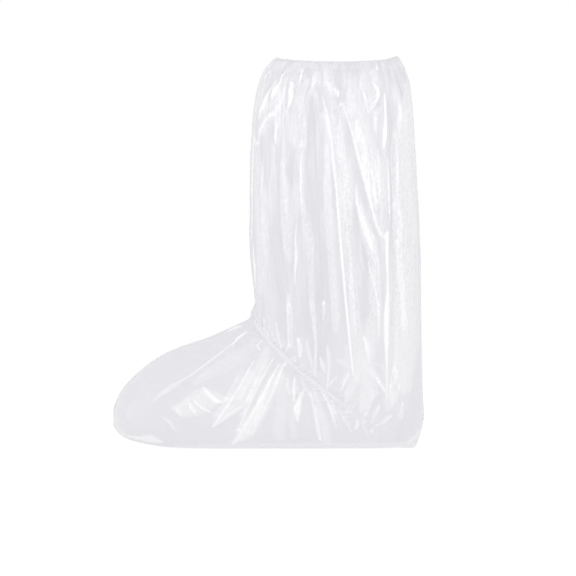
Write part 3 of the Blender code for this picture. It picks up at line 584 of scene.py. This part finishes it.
def chancePush(share, girth, along, kind, chance):
    count, heights, breadths, lengths, span, begins, slant, wander = chanceCreases[kind]
    startFade, endFade = chanceShape["fade"]
    push = np.zeros_like(along)
    for number in range(count):
        place = mix(*span, (number + chance.uniform(*chanceShape["scatter"])) / count)
        height = chance.uniform(*heights) / 1000 * chance.choice(chanceShape["ways"])
        halves = [chance.uniform(*breadths) / 1000 for _ in range(2)]
        length = chance.uniform(*lengths) / 1000
        begin = chance.uniform(*begins) / 1000
        lean = chance.uniform(-1, 1) * slant
        wave = chance.uniform(-1, 1) * wander / 1000
        turn = chance.uniform(*chanceShape["turn"])
        run = (along - begin) / length
        rows = np.flatnonzero(((run > 0) & (run < 1)).any(axis=1))
        if not len(rows):
            continue
        part = slice(rows[0], rows[-1] + 1)
        t = run[part]
        centre = lean * t * length + wave * np.sin(turn * t)
        across = (share[part] - place) * girth[part] - centre
        fade = smoothStep(t / startFade) * smoothStep((1 - t) / endFade)
        push[part] += height * fade * crease(across, *halves)
    return push


def dressedForm(side, seed, photoSide):
    form = bareForm(*filmMesh[side])
    grid = form["grid"]
    rows, columns = grid.shape[:2]
    share = np.linspace(0, 1, columns)[None, :] * np.ones((rows, 1))
    girth = np.linalg.norm(np.diff(grid, axis=1), axis=2).sum(axis=1)[:, None]
    runs = np.linalg.norm(np.diff(grid, axis=0), axis=2)
    along = np.vstack([np.zeros((1, columns)), np.cumsum(runs, axis=0)])
    ankleRow = int(np.searchsorted(form["places"], ankleSection))
    fromAnkle = along - along[ankleRow]
    x, z = grid[:, :, 0], grid[:, :, 2]
    fromSeam = np.minimum(share, 1 - share) * girth
    inland = smoothStep(fromSeam / filmMesh["seamFade"])
    (end, fade), (flat, reach) = ankleStrip["gatherEnd"], ankleStrip["flatten"]
    gathered = smoothStep((end - share) / fade) * smoothStep(share / ankleStrip["gatherStart"])
    pinched = gathered * np.exp(-((fromAnkle / ankleStrip["pinchReach"]) ** 2))
    underStrip = gathered * np.exp(-((fromAnkle / ankleStrip["width"] / reach) ** 4))
    chance = random.Random(seed)

    push = np.zeros((rows, columns))
    placeX = x if photoSide else x * farSide["squeeze"] + farSide["shift"]
    # the painted highlights (paler) and the painted shade (clearer) on the film
    paintedHighlight, clear = np.zeros((2, rows, columns))
    for number, (height, right, left, white, crest) in enumerate(photoFolds.values()):
        if photoSide or number % farSide["foldStep"] == 0:
            push += foldPush(placeX, z, height, (right, left), crest) * inland
            # a painted highlight along the crest, partly the stretched film's whitening
            if white:
                paintedHighlight = np.maximum(paintedHighlight, paintedLightBand(placeX, z, white, crest))
    wander, waveZ, waveX = filmLook["toneWander"]
    ragged = wander * np.sin(z * waveZ + 2 * np.sin(x * waveX))
    for number, (paintedLight, points) in enumerate(paintedLightBands.values()):
        faint = abs(paintedLight) < filmLook["faintTone"]
        if photoSide or faint or number % farSide["bandStep"]:
            band = paintedLightBand(placeX + ragged * faint, z, paintedLight, points)
            paintedHighlight, clear = np.maximum(paintedHighlight, band), np.minimum(clear, band)
    onLeg = smoothStep(-fromAnkle / ankleStrip["legEnd"])
    for kind in ("shaftLong", "shaftFine"):
        push += chancePush(share, girth, along, kind, chance) * onLeg
    push += chancePush(share, girth, fromAnkle, "footLoose", chance)
    push *= 1 - ankleStrip["calm"] * pinched
    for kind in ("hemRuffle", "hemPleat"):
        push += chancePush(share, girth, along, kind, chance)
    for kind, line in (("ankleRuffle", fromAnkle), ("ankleAbove", -fromAnkle), ("ankleBelow", fromAnkle)):
        push += chancePush(share, girth, line, kind, chance) * gathered
    push += chancePush(share, girth, fromAnkle, "heelLoose", chance)
    push = push * (1 - flat * underStrip) - boot["anklePinch"] * pinched
    push *= smoothStep((z + boot["film"]) / filmMesh["soleFade"])
    push *= smoothStep(fromSeam / filmMesh["weldFade"])
    push[-1] = 0
    form["body"] = grid + gridNormals(grid) * push[:, :, None]
    # the painted-light attribute: painted highlights where paler, painted shade where clearer
    form["paintedLight"] = np.where(paintedHighlight > 0.05, paintedHighlight, clear)
    form["ankleRow"] = ankleRow
    return form


# the film as one sheet: hem, body and welded edges

def rimNormals(rim):
    across = unit(np.gradient(rim[:, 0:2], axis=0))
    normals = np.column_stack([across[:, 1], -across[:, 0], np.zeros(len(rim))])
    normals[0], normals[-1] = (-1, 0, 0), (1, 0, 0)
    return normals


def hemRows(rim):
    normals, up = rimNormals(rim), np.array([0, 0, 1.0])
    turn = boot["hemTurn"]
    downRows, turnRows = filmMesh["hemRows"]
    rows = []
    for drop in np.linspace(boot["hemDrop"], turn, downRows + 1)[:-1]:
        rows.append(rim - normals * 2 * turn - up * drop)
    for angle in np.radians(np.linspace(180, 0, turnRows + 1)[:-1]):
        facing = normals * math.cos(angle) + up * math.sin(angle)
        rows.append(rim - (normals + up) * turn + facing * turn)
    return np.array(rows)


def weldColumn(root, out, weld, share):
    out3 = np.stack([out[:, 0], np.zeros(len(out)), out[:, 1]], axis=1)
    tip = root + out3 * (boot["weldWidth"] * weld * share)[:, None]
    tip[:, 1] = -boot["seamGap"] - boot["film"] * bootShape["weldSet"] * weld
    return tip


def filmGrid(form):
    body = form["body"].copy()
    rim = body[0].copy()
    body[0, :, 2] -= boot["hemTurn"]
    tuck = body[0, :, 2] - filmMesh["hemTuck"] * np.arange(1, 4)[:, None]
    body[1:4, :, 2] = np.minimum(body[1:4, :, 2], tuck)
    edges = []
    for column, out, weld in ((0, "frontOut", "weldFront"), (-1, "backOut", "weldBack")):
        for share in (0.5, 1.0):
            edges.append(weldColumn(body[:, column], form[out], form[weld], share)[:, None])
    sheet = np.hstack([edges[1], edges[0], body, edges[2], edges[3]])
    hem = np.pad(hemRows(rim), ((0, 0), (2, 2), (0, 0)), "edge")
    ends = np.ones((sheet.shape[1], 1))    # the toe's weld tapers to nothing at its two ends
    ends[[0, -1]], ends[[1, -2]] = 0, 0.5
    toe = [sheet[-1] - ends * np.array([boot["weldWidth"] * share, 0, 0]) for share in (0.5, 1.0)]
    return np.vstack([hem, sheet, toe]), len(hem)


def gridMesh(name, grid, mirror, paintedLight):
    rows, columns = grid.shape[:2]
    index = np.arange(rows * columns).reshape(rows, columns)
    corners = [index[1:, :-1], index[1:, 1:], index[:-1, 1:], index[:-1, :-1]]
    quads = np.stack(corners, axis=-1).reshape(-1, 4)
    piece = newPiece(name, grid.reshape(-1, 3), quads.tolist(), mirror)
    piece.data.shade_smooth()
    # the painted highlights and shade, kept as an attribute for the film's colour
    layer = piece.data.attributes.new("paintedLight", "FLOAT", "POINT")
    layer.data.foreach_set("value", paintedLight.reshape(-1).astype(np.float32))
    return piece


def newPiece(name, points, faces, mirror=False):
    points = np.array(points)
    if mirror:
        points[:, 1] *= -1
        faces = [face[::-1] for face in faces]
    mesh = bpy.data.meshes.new(name)
    mesh.from_pydata(points.tolist(), [], faces)
    mesh.validate()
    piece = bpy.data.objects.new(name, mesh)
    bpy.context.scene.collection.objects.link(piece)
    return piece


# materials

filmLook = {
    "clear": (0.744, 0.744, 0.782),
    "cloudy": (0.822, 0.822, 0.856),
    # the colour that the painted highlights blend towards
    "white": (1.000, 1.000, 1.000),
    "roughness": (0.13, 0.24),
    "patterns": {
        "streak": {"Scale": 260, "Detail": 4, "Roughness": 0.55},
        "crinkle": {"Scale": 190, "Detail": 6, "Roughness": 0.6, "Distortion": 0.8},
        "cloud": {"Scale": 95, "Detail": 6, "Roughness": 0.62},
        "grain": {"Scale": 420, "Detail": 2},
    },
    "stretch": {"streak": 0.16, "cloud": 0.09, "grain": 0.55},    # scale up the boot
    "cloudSpan": (0.40, 0.60),
    "grainSpan": (0.36, 0.64),
    "legStreak": (0.10, 0.18),   # heights between which the leg's streaks begin
    "footCloud": 0.60,     # how cloudy the foot is all over
    "footGrain": 0.40,
    "paintedLightStrength": 0.8,     # how much a band's tone clouds or clears the film
    "toneEdge": 0.95,      # how much the painted light and shade move the film's colour between clear and cloudy
    "faintTone": 0.5,      # bands fainter than this wander
    "toneWander": (0.0003, 430, 510),    # how many metres, and how often up and along the boot
    "toneBreak": (-1.1, 0.9),    # how much the grain breaks the paler bands up
    # painted highlight on the welds, which also lifts the shade at the seams
    "weldPaintedLight": 0.80,
    "toeDull": (-0.20, -0.12, 0.12),   # x from and to, and the share of the shine left at the toe
    "streakBump": (0.20, 0.0006),      # strength and depth
    "crinkleBump": (0.32, 0.0008),
    "shine": 0.6,
    "alpha": 0.88,
}


def feed(made, socket, value):
    # a socket takes a number, a colour or another node's output
    if isinstance(value, bpy.types.NodeSocket):
        made.node_tree.links.new(value, socket)
    elif socket.type == "RGBA":
        socket.default_value = (*value, 1)
    else:
        socket.default_value = value


def addNode(made, kind, inputs=(), **facts):
    node = made.node_tree.nodes.new("ShaderNode" + kind)
    for fact, value in facts.items():
        setattr(node, fact, value)
    for name, value in dict(inputs).items():
        feed(made, node.inputs[name], value)
    return node


def spread(made, value, fromSpan=(0, 1), toSpan=(0, 1)):
    names = ("Value", "From Min", "From Max", "To Min", "To Max")
    return addNode(made, "MapRange", zip(names, (value, *fromSpan, *toSpan))).outputs["Result"]


def reckon(made, operation, *terms, clamp=False):
    return addNode(made, "Math", enumerate(terms), operation=operation, use_clamp=clamp).outputs[0]


def blendColors(made, share, first, second):
    inputs = {"Factor": share, "A": first, "B": second}
    return addNode(made, "Mix", inputs, data_type="RGBA").outputs["Result"]


def bump(made, facts, height, inputs=()):
    inputs = {"Strength": facts[0], "Distance": facts[1], "Height": height, **dict(inputs)}
    return addNode(made, "Bump", inputs).outputs["Normal"]


def newMaterial(name):
    made = bpy.data.materials.new(name)
    made.use_nodes = True
    return made


def dress(made, inputs):
    shader = made.node_tree.nodes["Principled BSDF"]
    for name, value in inputs.items():
        feed(made, shader.inputs[name], value)


def filmMaterial():
    made, look = newMaterial("milkyFilm"), filmLook
    place = addNode(made, "TexCoord").outputs["Object"]
    patterns = {}
    for name, facts in look["patterns"].items():
        source = place
        if name in look["stretch"]:
            scale = (1.0, 1.0, look["stretch"][name])
            source = addNode(made, "Mapping", {"Vector": place, "Scale": scale}).outputs["Vector"]
        patterns[name] = addNode(made, "TexNoise", {"Vector": source, **facts}).outputs["Fac"]
    axes = addNode(made, "SeparateXYZ", {"Vector": place}).outputs

    # clouds all over the foot, and in long streaks up the leg, with the painted light and shade of the
    # attribute added on top
    cloudsAndPaintedLight = spread(made, patterns["cloud"], look["cloudSpan"], (-look["footCloud"], 1 - look["footCloud"]))
    onLeg = spread(made, axes["Z"], look["legStreak"])
    cloudsAndPaintedLight = reckon(made, "MULTIPLY_ADD", cloudsAndPaintedLight, onLeg, look["footCloud"])
    paintedLight = addNode(made, "Attribute", attribute_name="paintedLight").outputs["Fac"]
    cloudsAndPaintedLight = reckon(made, "MULTIPLY_ADD", paintedLight, look["paintedLightStrength"], cloudsAndPaintedLight, clamp=True)
    color = blendColors(made, cloudsAndPaintedLight, look["clear"], look["cloudy"])

    # the grain breaks up a half white painted highlight most, and a full white one not at all
    halfWhite = reckon(made, "SUBTRACT", 1.0, paintedLight, clamp=True)
    grainy = spread(made, axes["Z"], look["legStreak"], (look["footGrain"], 1.0))
    grainy = reckon(made, "MULTIPLY", halfWhite, grainy)
    broken = spread(made, patterns["grain"], look["grainSpan"], look["toneBreak"])
    broken = reckon(made, "MULTIPLY_ADD", grainy, broken, 1.0)
    highlightShare = reckon(made, "MULTIPLY", paintedLight, broken, clamp=True)

    dullFrom, dullTo, dullShine = look["toeDull"]
    streakNormal = bump(made, look["streakBump"], patterns["streak"])
    dress(made, {
        # painted highlights: the film's colour blended towards white along the crests and bands
        "Base Color": blendColors(made, highlightShare, color, look["white"]),
        "Roughness": spread(made, patterns["crinkle"], toSpan=look["roughness"]),
        "Specular Tint": spread(made, axes["X"], (dullFrom, dullTo), (dullShine, 1.0)),
        "Normal": bump(made, look["crinkleBump"], patterns["crinkle"], {"Normal": streakNormal}),
        "Alpha": look["alpha"],
        "Specular IOR Level": look["shine"],
        "IOR": 1.5,
    })
    return made


elasticLook = {
    "color": (0.79, 0.79, 0.825),
    "shade": (0.75, 0.75, 0.785),
    "ribs": {"Scale": 1100, "Detail": 2},
    "ribBump": (0.5, 0.0004),
    "roughness": 0.7,
}


def elasticMaterial():
    made, look = newMaterial("whiteElastic"), elasticLook
    place = addNode(made, "TexCoord").outputs["Object"]
    ribs = addNode(made, "TexNoise", {"Vector": place, **look["ribs"]}).outputs["Fac"]
    dress(made, {
        "Base Color": blendColors(made, ribs, look["shade"], look["color"]),
        "Normal": bump(made, look["ribBump"], ribs),
        "Roughness": look["roughness"],
    })
    return made


# the pieces

sides = {
    "left": {"seed": 11, "mirror": False, "photoSide": True},
    "right": {"seed": 29, "mirror": True, "photoSide": False},
}


def closedStrip(name, outer, inner, mirror, ring=False):
    # a thin band with four faces all along it, from two edges outside and two inside
    loops = [outer[0], outer[1], inner[1], inner[0]]
    count = len(loops[0])
    points = np.stack(loops, axis=1).reshape(-1, 3)
    faces = []
    for i in range(count if ring else count - 1):
        k = (i + 1) % count
        for a in range(4):
            b = (a + 1) % 4
            faces.append((i * 4 + a, i * 4 + b, k * 4 + b, k * 4 + a))
    if not ring:
        last = (count - 1) * 4
        faces.append((3, 2, 1, 0))
        faces.append((last, last + 1, last + 2, last + 3))
    return newPiece(name, points, faces, mirror)


def makePanel(side, facts, film):
    form = dressedForm(side, facts["seed"], facts["photoSide"])
    grid, hemCount = filmGrid(form)
    paintedLight = np.zeros(grid.shape[:2])
    paintedLight[hemCount : hemCount + len(form["paintedLight"]), 2:-2] = form["paintedLight"]
    # the welds are painted paler: a painted highlight that also lifts the shade at the seams
    paintedLight[hemCount:, [0, 1, 2, -3, -2, -1]] = filmLook["weldPaintedLight"]
    paintedLight[-3:] = filmLook["weldPaintedLight"]
    piece = gridMesh(f"{side}Film", grid, facts["mirror"], paintedLight)
    piece.data.materials.append(film)
    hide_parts(f"{side}_panel")
    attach(piece, "root")
    print(f"{side} panel made:", len(piece.data.vertices), "points")
    return form


def makeAnkleStrip(side, facts, form, elastic):
    body, ankle, slope = form["body"], form["ankleRow"], ankleStrip["slopeRows"]
    first, last = (int(round(share * (body.shape[1] - 1))) for share in ankleStrip["span"])
    around = range(-(ankleStrip["even"] // 2), ankleStrip["even"] // 2 + 1)

    def evened(row):
        return sum(body[row, first + step : last + 1 + step] for step in around) / len(around)

    line, down = evened(ankle), unit(evened(ankle + slope) - evened(ankle - slope))
    out = unit(np.cross(down, np.gradient(line, axis=0)))
    half = ankleStrip["width"] / 2
    inner = [line + out * ankleStrip["lift"] + down * half * end for end in (-1, 1)]
    outer = [edge + out * ankleStrip["thickness"] for edge in inner]
    piece = closedStrip(f"{side}AnkleElastic", outer, inner, facts["mirror"])
    piece.data.materials.append(elastic)
    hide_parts(f"{side}_ankle_elastic")
    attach(piece, "root")
    print(f"{side} ankle elastic made")


hemElastic = {"width": 0.006, "thickness": 0.0006}


def makeHemElastic(forms, elastic):
    halves, up = [], np.array([0, 0, 1.0])
    for side, facts in sides.items():
        rim = forms[side]["body"][0]
        normals = rimNormals(rim)
        middle = rim - (normals + up) * boot["hemTurn"]
        rows = np.array([
            middle + normals * depth * hemElastic["thickness"] - up * drop * hemElastic["width"]
            for drop, depth in ((0, 0.5), (1, 0.5), (1, -0.5), (0, -0.5))
        ])
        if facts["mirror"]:
            rows = rows[:, ::-1] * (1, -1, 1)
        halves.append(rows)
    loops = np.hstack(halves)
    piece = closedStrip("hemElastic", loops[:2], loops[:1:-1], False, ring=True)
    piece.data.materials.append(elastic)
    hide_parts("top_elastic")
    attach(piece, "root")
    print("hem elastic made")


film, elastic = filmMaterial(), elasticMaterial()
print("materials made")
forms = {}
for side, facts in sides.items():
    forms[side] = makePanel(side, facts, film)
    makeAnkleStrip(side, facts, forms[side], elastic)
makeHemElastic(forms, elastic)


# floor, lights and camera

studio = {
    "floorRadius": 6.0,
    "floorSides": 64,
    "floorDrop": 0.0004,   # how far the floor lies below the sole
    "floorColor": (0.25, 0.25, 0.25),
    "floorRoughness": 0.9,
    "floorGlow": 0.80,
    "sky": 1.0,
    "white": (1, 1, 1),    # of the sky and of the floor's glow
}


def makeFloor():
    level = -boot["film"] - studio["floorDrop"]
    radius, turns = studio["floorRadius"], np.linspace(0, 2 * math.pi, studio["floorSides"], endpoint=False)
    corners = [(radius * math.cos(turn), radius * math.sin(turn), level) for turn in turns]
    floor = newPiece("floor", corners, [list(range(len(corners)))])
    made = newMaterial("paleFloor")
    dress(made, {
        "Base Color": studio["floorColor"],
        "Roughness": studio["floorRoughness"],
        "Specular IOR Level": 0.0,
        "Emission Color": studio["white"],
        "Emission Strength": studio["floorGlow"],
    })
    floor.data.materials.append(made)


# each light: degrees round from the camera and above level, distance and size in metres, and
# radiance. the ones that only glint leave the film's own tone alone
lights = {
    "key": (-40, 40, 2.9, (1.2, 1.2), 1.3),
    "fill": (42, 20, 2.9, (1.4, 1.4), 0.35),
    "panelLeft": (-66, 16, 2.2, (1.5, 1.3), 0.8),
    "panelRight": (54, 16, 2.2, (2.2, 1.5), 0.6),
    "stripLeft": (-37, 16, 2.1, (0.08, 1.4), 15),
    "stripRight": (22, 10, 2.1, (0.06, 1.9), 13),
    "stripFarLeft": (-74, 18, 2.1, (0.09, 1.2), 13),
    "stripFarRight": (64, 8, 2.1, (0.09, 1.9), 13),
}
diffuseLights = ("key", "fill")
lightAim = (-0.05, 0.0, 0.22)


def makeLights():
    world = bpy.data.worlds.new("studioSky")
    world.use_nodes = True
    world.node_tree.nodes["Background"].inputs["Color"].default_value = (*studio["white"], 1)
    world.node_tree.nodes["Background"].inputs["Strength"].default_value = studio["sky"]
    bpy.context.scene.world = world
    for name, (turn, rise, distance, size, radiance) in lights.items():
        data = bpy.data.lights.new(name, "AREA")
        data.shape = "RECTANGLE"
        data.size, data.size_y = size
        data.energy = math.pi * data.size * data.size_y * radiance
        turn, rise = math.radians(turn), math.radians(rise)
        away = Vector((math.sin(turn) * math.cos(rise), -math.cos(turn) * math.cos(rise), math.sin(rise)))
        lamp = bpy.data.objects.new(name, data)
        lamp.location = Vector(lightAim) + away * distance
        lamp.rotation_euler = away.to_track_quat("Z", "Y").to_euler()
        lamp.visible_diffuse = name in diffuseLights
        bpy.context.scene.collection.objects.link(lamp)


cameraFacts = {"distance": 8.0, "sensor": 36.0, "seesTo": 50}


def makeCamera():
    centerX, centerZ = photoPoint(photo["size"] / 2, photo["size"] / 2)
    data = bpy.data.cameras.new("camera")
    data.sensor_width = cameraFacts["sensor"]
    data.lens = cameraFacts["sensor"] * cameraFacts["distance"] / (photo["size"] * photo["pixel"])
    data.clip_end = cameraFacts["seesTo"]
    camera = bpy.data.objects.new("camera", data)
    camera.location = (centerX, -cameraFacts["distance"], centerZ)
    camera.rotation_euler = (math.radians(90), 0, 0)
    bpy.context.scene.collection.objects.link(camera)
    bpy.context.scene.camera = camera


makeFloor()
makeLights()
makeCamera()
bpy.context.scene.view_settings.view_transform = "Standard"
print("floor, lights and camera made")
